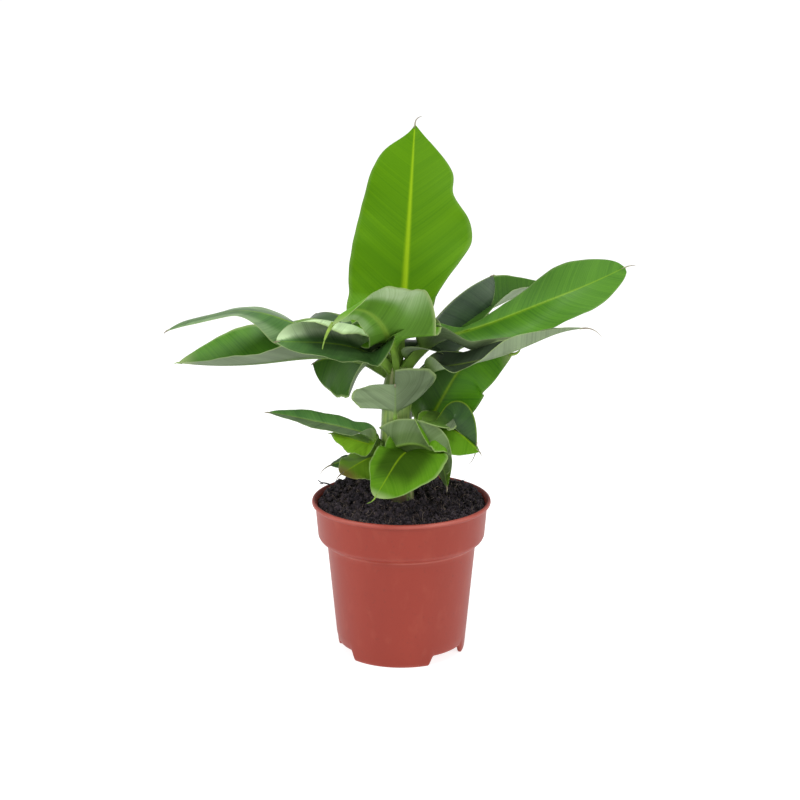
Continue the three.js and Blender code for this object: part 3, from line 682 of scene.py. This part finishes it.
def frame_at(leaf, t):
    """At each t: the midrib's point and direction, the way to the leaf's right and the way up."""
    points = midrib(leaf)
    x = t * MIDRIB_STEPS
    i = np.minimum(x.astype(int), MIDRIB_STEPS - 1)
    f = (x - i)[:, None]
    point = points[i] * (1 - f) + points[i + 1] * f
    forward = direction(leaf, t)
    heading = along(leaf["heading"], t)
    right = np.stack([np.sin(heading), -np.cos(heading), 0 * heading], -1)
    up = np.cross(right, forward)
    roll = along(leaf["roll"], t)[:, None]
    return point, forward, right * np.cos(roll) + up * np.sin(roll), up * np.cos(roll) - right * np.sin(roll)


def half_width(leaf, u):
    """Half the blade's width at u along the blade: the stalk's channel, then u^blunt (1 - u)^point."""
    blunt, point = leaf["blunt"], leaf["point"]
    peak = blunt / (blunt + point)
    v = np.clip(u, 0, 1)
    outline = v**blunt * (1 - v) ** point / (peak**blunt * (1 - peak) ** point)
    return leaf["width"] / 2 * outline + leaf["channel"] * (1 - smooth(u / CHANNEL_SHARE))


def blade_sheet(leaf):
    """The leaf's middle sheet as a grid from base to tip and from the left margin to the right one.

    Each half starts at its fold angle and bends on by its curl, as an arc: x = wide (sin(start + turn w) -
    sin start) / turn, y = wide (cos start - cos(start + turn w)) / turn, with w from 0 at the midrib to 1 at
    the margin. It ripples and is swept forwards with w^2, and frills with w^5.
    """
    t = np.linspace(0, 1, BLADE_ROWS + 1)
    w = np.concatenate([-np.array(BLADE_COLUMNS[:0:-1]), BLADE_COLUMNS])
    point, forward, right, up = frame_at(leaf, t)
    u = (t - leaf["stalk"]) / (1 - leaf["stalk"])
    v = np.clip(u, 0, 1)
    opened = smooth(u / OPENING_SHARE)
    x, y, z = (np.zeros((len(t), len(w))) for _ in range(3))
    for side, part, offset in ((-1, leaf["left"], 0), (1, leaf["right"], RIPPLE_OFFSET)):
        own = np.sign(w) == side
        a = np.abs(w[own])
        start = (math.radians(STALK_FOLD) * (1 - opened) + along(part["fold"], v) * opened)[:, None]
        turn = (math.radians(STALK_CURL) * (1 - opened) + along(part["curl"], v) * opened)[:, None]
        turn = np.where(np.abs(turn) < LEAST_TURN, LEAST_TURN, turn)
        wide = (half_width(leaf, u) * (1 + (along(part["share"], v) - 1) * opened))[:, None]
        wide = np.maximum(wide, LEAST_HALF_WIDTH)
        phase = (CIRCLE * leaf["waves"] * v + offset)[:, None]
        ends = (np.sin(np.pi * v) ** 0.7 * opened)[:, None]
        ripple = leaf["wave"] * np.sin(phase) * ends * a**2
        frill = FRILL_HEIGHT * leaf["wave"] * np.sin(FRILL_PACE * phase + 2) * ends * a**5
        angle = start + turn * a
        x[:, own] = side * wide * (np.sin(angle) - np.sin(start)) / turn
        y[:, own] = wide * (np.cos(start) - np.cos(angle)) / turn + ripple + frill
        z[:, own] = part["sweep"] * a**2 * opened[:, None]
    sheet = point[:, None] + x[..., None] * right[:, None]
    sheet = sheet + y[..., None] * up[:, None] + z[..., None] * forward[:, None]
    return t, w, sheet


def make_blade(leaf, materials, replaced):
    """A leaf as one closed body: the middle sheet, thickened along its own normals, with a midrib below.

    The thickness fades towards the margin as 1 - w^6. The midrib stands out below as a bell curve of the
    distance from it, and sinks a little into the upper face.
    """
    t, w, sheet = blade_sheet(leaf)
    spread = np.linalg.norm(np.diff(sheet, axis=1), axis=-1)
    across = np.concatenate([np.zeros((len(t), 1)), np.cumsum(spread, 1)], 1)
    across -= across[:, len(w) // 2][:, None]
    down, over = np.gradient(sheet, axis=0), np.gradient(sheet, axis=1)
    normal = unit(np.cross(over, down))
    fade = (1 - t)[:, None]
    stalk = 1 - rise(t / leaf["stalk"], STALK_FADE, STALK_FADE)[:, None]
    body = BLADE_THICKNESS / 2 * (1 - MARGIN_THINNING * np.abs(w) ** 6) + STALK_THICKENING * stalk
    rib_width = RIB_WIDTH + RIB_WIDTH_GROWTH * leaf["length"] * fade
    rib = (RIB_HEIGHT + RIB_HEIGHT_GROWTH * leaf["length"]) * fade * np.exp(-((across / rib_width) ** 2))
    upper = sheet + normal * (body - RIB_SINK * rib * (1 - stalk))[..., None]
    lower = sheet - normal * (body + rib)[..., None]
    ring = np.concatenate([upper, lower[:, ::-1]], 1)
    rows, sides = ring.shape[:2]
    cap = np.arange(len(w) - 1)
    pairs = np.stack([cap, cap + 1, sides - 2 - cap, sides - 1 - cap], -1)
    faces = np.concatenate([ring_quads(rows, sides), pairs[:, ::-1], pairs + (rows - 1) * sides])
    piece = mesh_piece(leaf["name"] + "_blade", ring, faces, materials, replaced)
    below = np.zeros(len(faces), np.int32)
    below[: (rows - 1) * sides] = np.tile(np.arange(sides) >= len(w), rows - 1)
    piece.data.polygons.foreach_set("material_index", below)
    mark_blade(piece, leaf, t[:, None], w, across, normal[..., 2], stalk)


def mark_blade(piece, leaf, t, w, across, steepness, stalk):
    """The blade's UV map and what its material reads, for each point round the upper and the lower face.

    At the distance d off the midrib the veins slant and bow back, v = length t - slant d - bow d^2, and the
    midrib's line is exp(-(d / width)^3). Tone and the pale wax setting pass from one half's to the other's
    across the midrib; both are partly painted light, shade and sheen. rim paints light on the outer part and
    the end. All else rises smoothly with w, with t or with how far the face points up, which drives the
    painted sheen.
    """
    column = np.concatenate([np.arange(len(w)), np.arange(len(w))[::-1]])
    below = (np.arange(len(column)) >= len(w)).astype(int)
    fade = 1 - t
    away = across[:, column]
    off_midrib = np.abs(w[column])[None, :]
    vein = leaf["length"] * t - VEIN_SLANT * np.abs(away) - VEIN_BOW * away**2
    set_uv(piece, away / UV_SCALE, vein / UV_SCALE + leaf["waves"])

    line_width = LINE_WIDTH + LINE_WIDTH_GROWTH * leaf["length"] * fade * leaf["rib"]
    line = np.exp(-(np.abs(away / line_width) ** 3)) * (0.5 + 0.5 * fade) * leaf["rib"]
    edge = leaf["edge"] * rise(off_midrib, 0.94, 0.04) * smooth(t / 0.2)
    if not leaf["dried"]:
        edge = np.maximum(edge, rise(t, 0.9, 0.1))
    set_marks(piece, "marks", line, edge, stalk, leaf["brown"] * rise(t, 0.72, 0.2))

    # How far each face points up, which drives the painted sheen.
    faces_sky = rise(np.concatenate([steepness, -steepness[:, ::-1]], 1), 0.05, 0.7)
    to_right = rise(w[column], -0.2, 0.4)
    faces = ([np.broadcast_to(face, 2) for face in leaf[key]] for key in ("tone", "bloom"))
    halves = (np.array(face)[below].T for face in faces)
    tone, bloom = (left * (1 - to_right) + right * to_right for left, right in halves)
    bloom = bloom * rise(off_midrib, leaf["bloom_from"], 0.3) * rise(t, leaf["bloom_start"], 0.25)
    # Painted light: the outer part and the end are lightened by rim.
    tone = tone * (1 + leaf["rim"] * np.maximum(rise(off_midrib, 0.45, 0.4), rise(t, 0.66, 0.22)))
    set_marks(piece, "finish", tone / TONE_SCALE, faces_sky, bloom, 0)


def drip_path(leaf):
    """The thread that the midrib runs out in. Over its length it rises by droop and turns by way degrees."""
    point = midrib(leaf)[-1]
    share = np.linspace(0, 1, DRIP_STEPS)
    pitch = leaf["pitch"][-1] + math.radians(leaf["droop"]) * share
    ways = pointing(leaf["heading"][-1] + math.radians(leaf["way"]) * share, pitch)
    path = point + np.cumsum(ways, 0) * leaf["drip"] / DRIP_STEPS
    return np.vstack([point - ways[:1] * DRIP_OVERLAP, path])


def make_leaves():
    """Every blade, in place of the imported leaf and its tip, then the threads at their ends as two meshes."""
    faces = {}
    for name, look in LOOKS.items():
        upper = leaf_material(name + "_upper", look, True)
        faces[name] = [upper, leaf_material(name + "_under", look, False)]
    for each in LEAVES:
        stretches = [each["name"] + "_leaf", each["name"] + "_leaf_tip"]
        replaced = [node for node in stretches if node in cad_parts]
        make_blade(each, faces[each["look"]], replaced)
    for name, dried, light, dark in (
        ("green_drip_tips", False, (0.22, 0.36, 0.03), (0.16, 0.27, 0.03)),
        ("dry_drip_tips", True, (0.34, 0.33, 0.22), (0.16, 0.12, 0.07)),
    ):
        chosen = [each for each in LEAVES if each["dried"] == dried]
        paths = np.array([drip_path(each) for each in chosen])
        radii = np.outer([each["tip"] for each in chosen], np.linspace(1, 0.2, paths.shape[1]))
        points, quads = tubes(paths, radii, 8)
        mesh_piece(name, points, quads, [plain_material(name, light, dark, 300.0, 0.6)])


# ---- stem ----


def make_stem():
    """The scroll of leaf sheaths. Round each the radius grows with the angle and steps back at its free edge:
    r = R(z) (least + relief (turns - floor(turns))), with turns = lobes angle / 360 + twist z.
    """
    stations = np.array(STEM_STATIONS, float)
    z = np.linspace(stations[0, 2], stations[-1, 2], STEM_ROWS)[:, None]
    x, y, radius = (np.interp(z[:, 0], stations[:, 2], stations[:, k]) for k in (0, 1, 3))
    window = 2 * STEM_EASING + 1
    radius = np.convolve(np.pad(radius, STEM_EASING, "edge"), np.ones(window) / window, "valid")
    angle = np.linspace(0, CIRCLE, STEM_SIDES, endpoint=False)
    turns = SHEATH_LOBES * angle[None] / CIRCLE + SHEATH_TWIST * (z - 100) + 0.1
    share = turns - np.floor(turns)
    step = rise(share, SHEATH_EDGE, SHEATH_STEP)
    shape = STEM_LEAST + SHEATH_RELIEF * share * (1 - step) - STEM_OVAL * np.cos(2 * angle)[None]
    r = radius[:, None] * shape
    points = np.stack([x[:, None] + r * np.cos(angle), y[:, None] + r * np.sin(angle), z + 0 * r], -1)
    faces = closed_rings(STEM_ROWS, STEM_SIDES)
    piece = mesh_piece("stem_sheaths", points, faces, [sheath_material()], ["pseudostem"])
    set_uv(piece, angle[None] / CIRCLE, z / UV_SCALE)
    edge = rise(share, 0.8, 0.1) * (1 - rise(share, 0.95, 0.05))
    low, stained = (1 - rise(z, SOIL_RIM_Z, height) for height in (SCORCH_HEIGHT, STAIN_HEIGHT))
    set_marks(piece, "marks", edge, low, stained, 0)


# ---- pot ----


def rounded(corners):
    """The outline through corners, each turned by a quadratic arc that starts POT_ROUNDING before it."""
    corners = np.array(corners, float)
    before, here, after = corners[:-2], corners[1:-1], corners[2:]
    shorter = np.minimum(np.linalg.norm(here - before, axis=1), np.linalg.norm(after - here, axis=1))
    reach = np.minimum(POT_ROUNDING, 0.45 * shorter)
    start = here + unit(before - here) * reach[:, None]
    end = here + unit(after - here) * reach[:, None]
    k = np.linspace(0, 1, 5)[:, None, None]
    arcs = (1 - k) ** 2 * start + 2 * k * (1 - k) * here + k**2 * end
    return np.vstack([corners[:1], arcs.transpose(1, 0, 2).reshape(-1, 2), corners[-1:]])


def wall_radius(z):
    """The body's outer radius, which grows evenly from the foot to the shoulder."""
    return BODY_FOOT_RADIUS + (BODY_TOP_RADIUS - BODY_FOOT_RADIUS) * z / SHOULDER_Z


def foot_lift(angle):
    """How far the pot's foot is raised: FOOT_GAP_HEIGHT in the openings, 0 on the feet."""
    lift = np.zeros_like(angle)
    for middle in FOOT_GAP_ANGLES:
        off = np.abs((angle - math.radians(middle) + np.pi) % CIRCLE - np.pi) * BODY_FOOT_RADIUS
        lift = np.maximum(lift, 1 - smooth((off - FOOT_GAP_WIDTH / 2 + FOOT_GAP_SLOPE) / FOOT_GAP_SLOPE))
    return FOOT_GAP_HEIGHT * lift


def make_pot():
    """A turned outline: centre pad, floor, foot ring, tapering wall, shoulder, band, lip and the inner wall.

    Each point is raised by foot_lift(angle) times a weight that falls from 1 at the ground to 0 at
    FOOT_BLEND_Z. The mark, a paler colour, is a bell curve of the distance from three corners of the outline:
    the lip, the shoulder and the foot.
    """
    inner_floor = FLOOR_Z + FLOOR_THICKNESS
    underside = [
        (0.01, 0), (CENTRE_PAD_RADIUS, 0), (CENTRE_PAD_RADIUS + CENTRE_PAD_SLOPE, FLOOR_Z),
        (FOOT_RING_TOP_RADIUS, FLOOR_Z), (FOOT_RING_RADIUS, 0),
    ]
    outside = [
        (BODY_FOOT_RADIUS - 0.4, 0), (wall_radius(3), 3), (wall_radius(FOOT_BLEND_Z), FOOT_BLEND_Z),
        (wall_radius(45), 45), (BODY_TOP_RADIUS - 0.1, SHOULDER_Z - 1.1),
        (BODY_TOP_RADIUS + 0.75, SHOULDER_Z - 0.2), (BAND_FOOT_RADIUS - 1.2, BAND_FOOT_Z - 2.2),
        (BAND_FOOT_RADIUS, BAND_FOOT_Z), (BAND_TOP_RADIUS, POT_HEIGHT - LIP_HEIGHT - 0.6),
        (LIP_RADIUS - 0.5, POT_HEIGHT - LIP_HEIGHT), (LIP_RADIUS, POT_HEIGHT - 1.8),
        (LIP_RADIUS - 0.6, POT_HEIGHT - 0.1), (LIP_RADIUS - 1.8, POT_HEIGHT),
    ]
    inside = [
        (BAND_TOP_RADIUS, POT_HEIGHT - 0.9), (INNER_RADIUS, POT_HEIGHT - LIP_HEIGHT),
        (BAND_FOOT_RADIUS - WALL, BAND_FOOT_Z + WALL), (BODY_TOP_RADIUS - WALL, SHOULDER_Z + WALL),
        (wall_radius(inner_floor) - WALL, inner_floor), (0.01, inner_floor),
    ]
    outline = rounded(underside + outside + inside)
    lengths = np.linalg.norm(np.diff(outline, axis=0), axis=1)
    steps = np.maximum((lengths / POT_STEP).astype(int), 1)
    pieces = [np.linspace(a, b, n, endpoint=False) for a, b, n in zip(outline, outline[1:], steps)]
    r, z = np.vstack(pieces + [outline[-1:]]).T
    angle = np.linspace(0, CIRCLE, POT_SIDES, endpoint=False)
    outer = np.arange(len(r)) <= np.argmax(z)
    on_foot = (r > FOOT_RING_TOP_RADIUS + 0.1) & (z < FOOT_BLEND_Z) & outer
    weight = np.where(on_foot, 1 - smooth(z / FOOT_BLEND_Z), 0)
    height = z[:, None] + weight[:, None] * foot_lift(angle)[None]
    faces = closed_rings(len(r), POT_SIDES)
    points = turned(r[:, None], height, angle)
    piece = mesh_piece("nursery_pot", points, faces, [pot_material()], ["pot"])
    lip, shoulder = (LIP_RADIUS - 0.3, POT_HEIGHT - 1.2), (BODY_TOP_RADIUS + 0.6, SHOULDER_Z - 0.3)
    corners = (lip, shoulder, (BODY_FOOT_RADIUS, 0))
    pale_corners = np.clip(sum(np.exp(-(((r - a) ** 2 + (z - b) ** 2) / 1.2)) for a, b in corners), 0, 1)
    set_marks(piece, "marks", np.broadcast_to(pale_corners[:, None], height.shape), 0, 0, 0)


# ---- soil ----


def soil_height(x, y):
    """The peat's level: a mound round the stem, low lumps that fade near the wall, clods of three sizes, and
    heaps as bell curves.
    """
    share = np.clip(np.hypot(x, y) / SOIL_RADIUS, 0, 1)
    low = SOIL_LUMP * (np.sin(0.31 * x + 1.1) * np.cos(0.27 * y) + 0.5 * np.sin(0.63 * x - 0.5 * y + 2))
    places = np.stack([x, y], -1)
    clods = 0.7 * lumps(places, 10, SEED) + 0.7 * np.abs(lumps(places, 5, SEED + 1))
    clods = clods + 0.3 * lumps(places, 2, SEED + 2)
    heap = sum(
        high * np.exp(-((x - cx) ** 2 + (y - cy) ** 2) / (2 * reach**2)) for cx, cy, high, reach in SOIL_HEAPS
    )
    mound = SOIL_MOUND * (1 - smooth(share))
    return SOIL_RIM_Z + mound + low * smooth((1 - share) / 0.15) + clods + heap


def make_soil():
    """The peat as one closed body: its uneven top, then down inside the pot's wall to a flat foot."""
    r = np.concatenate([[0.05], np.linspace(0.8, SOIL_RADIUS, SOIL_RINGS)])[:, None]
    angle = np.linspace(0, CIRCLE, SOIL_SIDES, endpoint=False)
    top = turned(r, soil_height(r * np.cos(angle), r * np.sin(angle)), angle)
    wall = np.array([
        (SOIL_RADIUS, SOIL_RIM_Z - 2), (BAND_FOOT_RADIUS - WALL - SOIL_EDGE - 0.2, BAND_FOOT_Z + WALL),
        (BODY_TOP_RADIUS - WALL - SOIL_EDGE, SHOULDER_Z + WALL), (SOIL_FOOT_RADIUS, SOIL_FOOT_Z),
        (0.05, SOIL_FOOT_Z),
    ])
    points = np.concatenate([top, turned(wall[:, :1], wall[:, 1:], angle)])
    faces = [face[::-1] for face in closed_rings(len(points), SOIL_SIDES)]
    peat = peat_material("peat", (0.008, 0.007, 0.009), (0.072, 0.056, 0.064))
    mesh_piece("peat", points, faces, [peat], ["soil"])


def scatter(count, seed, reach):
    """Seeded places on the soil, even over its area and clear of the stem."""
    rng = np.random.default_rng(seed)
    r = np.sqrt(rng.uniform(STEM_CLEARANCE**2, reach**2, count))
    angle = rng.uniform(0, CIRCLE, count)
    return r * np.cos(angle), r * np.sin(angle)


def make_crumbs(name, count, sizes, seed, material):
    """Crumbs of peat: lumps of twelve corners, stretched, turned and dented by seeded numbers. The triangles
    join three corners that are near one another, and face outwards.
    """
    rng = np.random.default_rng(seed)
    golden = (1 + 5**0.5) / 2
    base = [(a, b * golden, 0) for a in (-1, 1) for b in (-1, 1)]
    corners = unit(np.array([c for p in base for c in (p, (0, p[0], p[1]), (p[1], 0, p[0]))], float))
    away = np.linalg.norm(corners[:, None] - corners[None], axis=-1)
    near = (away < 1.1) & (away > 0.1)
    triangles = []
    for i, j, k in itertools.combinations(range(12), 3):
        if near[i, j] and near[j, k] and near[i, k]:
            a, b, c = corners[[i, j, k]]
            triangles.append((i, j, k) if np.dot(np.cross(b - a, c - a), a) > 0 else (i, k, j))
    x, y = scatter(count, seed + 1, INNER_RADIUS - 2)
    size = rng.uniform(0, 1, count) ** 2 * (sizes[1] - sizes[0]) + sizes[0]
    shape = corners[None] * rng.uniform(0.65, 1.2, (count, 12, 1)) * rng.uniform(0.6, 1.3, (count, 1, 3))
    turn = np.linalg.qr(rng.normal(size=(count, 3, 3)))[0]
    turn *= np.sign(np.linalg.det(turn))[:, None, None]
    centres = np.stack([x, y, soil_height(x, y) + 0.25 * size], -1)
    points = centres[:, None] + size[:, None, None] * np.einsum("nij,nkj->nki", turn, shape)
    faces = (np.array(triangles)[None] + 12 * np.arange(count)[:, None, None]).reshape(-1, 3)
    mesh_piece(name, points, faces, [material])


def make_fibres(name, count, seed, material):
    """Roots and fibres: arcs that lie on the soil, one in ten with an end in the air."""
    rng = np.random.default_rng(seed)
    x, y = scatter(count, seed + 1, INNER_RADIUS - 4)
    heading = rng.uniform(0, CIRCLE, count)
    bend = rng.uniform(-2.2, 2.2, count)
    length = rng.uniform(*FIBRE_LENGTHS, count)
    steps = len(FIBRE_TAPER)
    share = np.linspace(0, 1, steps)
    way = heading[:, None] + bend[:, None] * share
    px = x[:, None] + np.cumsum(np.cos(way), 1) * length[:, None] / steps
    py = y[:, None] + np.cumsum(np.sin(way), 1) * length[:, None] / steps
    inside = np.minimum(1, (INNER_RADIUS - 2) / np.maximum(np.hypot(px, py), 1))
    px, py = px * inside, py * inside
    bow = rng.uniform(0.2, 1, count)[:, None] * np.sin(np.pi * share) * FIBRE_LIFT
    raised = (rng.uniform(0, 1, count) > 0.9)[:, None] * 4 * share**2
    paths = np.stack([px, py, soil_height(px, py) + 0.25 + bow + raised], -1)
    radii = np.outer(rng.uniform(0.10, 0.26, count), FIBRE_TAPER)
    points, faces = tubes(paths, radii, 4)
    mesh_piece(name, points, faces, [material])


def make_twig():
    """A forked bit of root that sticks up over the pot's rim at the left."""
    share = np.linspace(0, 1, TWIG_STEPS)[:, None]
    foot, fork = np.array(TWIG_FOOT, float), np.array(TWIG_FORK, float)
    bow = np.array([0, 0, TWIG_BOW]) * np.sin(np.pi * share)
    paths = [foot + (fork - foot) * share + bow]
    paths += [fork + np.array(end, float) * share - bow / 3 for end in TWIG_ENDS]
    radii = np.array(TWIG_RADII)[:, None] * np.linspace(1, 0.6, TWIG_STEPS)
    points, faces = tubes(np.array(paths), radii, 6)
    bark = plain_material("twig", (0.035, 0.028, 0.030), (0.012, 0.010, 0.011), 400.0, 0.9)
    mesh_piece("twig", points, faces, [bark])


def make_ground():
    """The soil and all that lies on it."""
    make_soil()
    dark = peat_material("peat_crumbs", (0.008, 0.007, 0.010), (0.072, 0.057, 0.068))
    brown = peat_material("bark_crumbs", (0.045, 0.032, 0.030), (0.15, 0.115, 0.10))
    make_crumbs("peat_crumbs", 3800, (0.4, 2.1), SEED + 10, dark)
    make_crumbs("bark_crumbs", 900, (0.3, 1.3), SEED + 20, brown)
    make_twig()
    pale = plain_material("pale_fibre", (0.21, 0.165, 0.135), (0.09, 0.068, 0.060), 200.0, 0.8)
    make_fibres("pale_fibres", 320, SEED + 30, pale)
    dark = plain_material("dark_fibre", (0.07, 0.045, 0.035), (0.02, 0.014, 0.013), 200.0, 0.9)
    make_fibres("dark_fibres", 420, SEED + 40, dark)


# ---- stage ----


def make_stage():
    """A wide white floor, soft light from all round and three large soft lamps."""
    scene = bpy.context.scene
    scene.view_settings.view_transform = "Standard"
    world = bpy.data.worlds.new("studio")
    scene.world = world
    world.use_nodes = True
    background = world.node_tree.nodes["Background"]
    white = (1, 1, 1, 1)
    background.inputs[0].default_value = white
    background.inputs[1].default_value = SKY_STRENGTH
    floor_mesh = bpy.data.meshes.new("studio_floor")
    corners = [(x * FLOOR_REACH, y * FLOOR_REACH, 0) for x, y in ((-1, -1), (1, -1), (1, 1), (-1, 1))]
    floor_mesh.from_pydata(corners, [], [(0, 1, 2, 3)])
    grey = (FLOOR_GREY, FLOOR_GREY, FLOOR_GREY, 1)
    glow = Nodes("studio_floor").finish(grey, 0.9, Emission_Color=white, Emission_Strength=FLOOR_GLOW)
    floor_mesh.materials.append(glow)
    added("studio_floor", floor_mesh)
    for name, place, size, power in LAMPS:
        lamp = bpy.data.lights.new(name, "AREA")
        lamp.shape = "DISK"
        lamp.size = size
        lamp.energy = power
        aim(added(name, lamp), place, LAMP_TARGET)


def aim(thing, place, target):
    """Puts a lamp or camera at place and turns it towards target."""
    thing.location = place
    thing.rotation_euler = (Vector(target) - Vector(place)).to_track_quat("-Z", "Y").to_euler()


def make_camera():
    """The camera in front, raised by its elevation and turned to its target."""
    camera = bpy.data.cameras.new("camera")
    camera.lens = CAMERA_LENS
    thing = added("camera", camera)
    raised = math.radians(CAMERA_ELEVATION)
    back = CAMERA_DISTANCE * np.array([0, -math.cos(raised), math.sin(raised)])
    aim(thing, tuple(np.array(CAMERA_TARGET) + back), CAMERA_TARGET)
    bpy.context.scene.camera = thing


make_camera()
make_stage()
make_pot()
make_ground()
make_stem()
make_leaves()
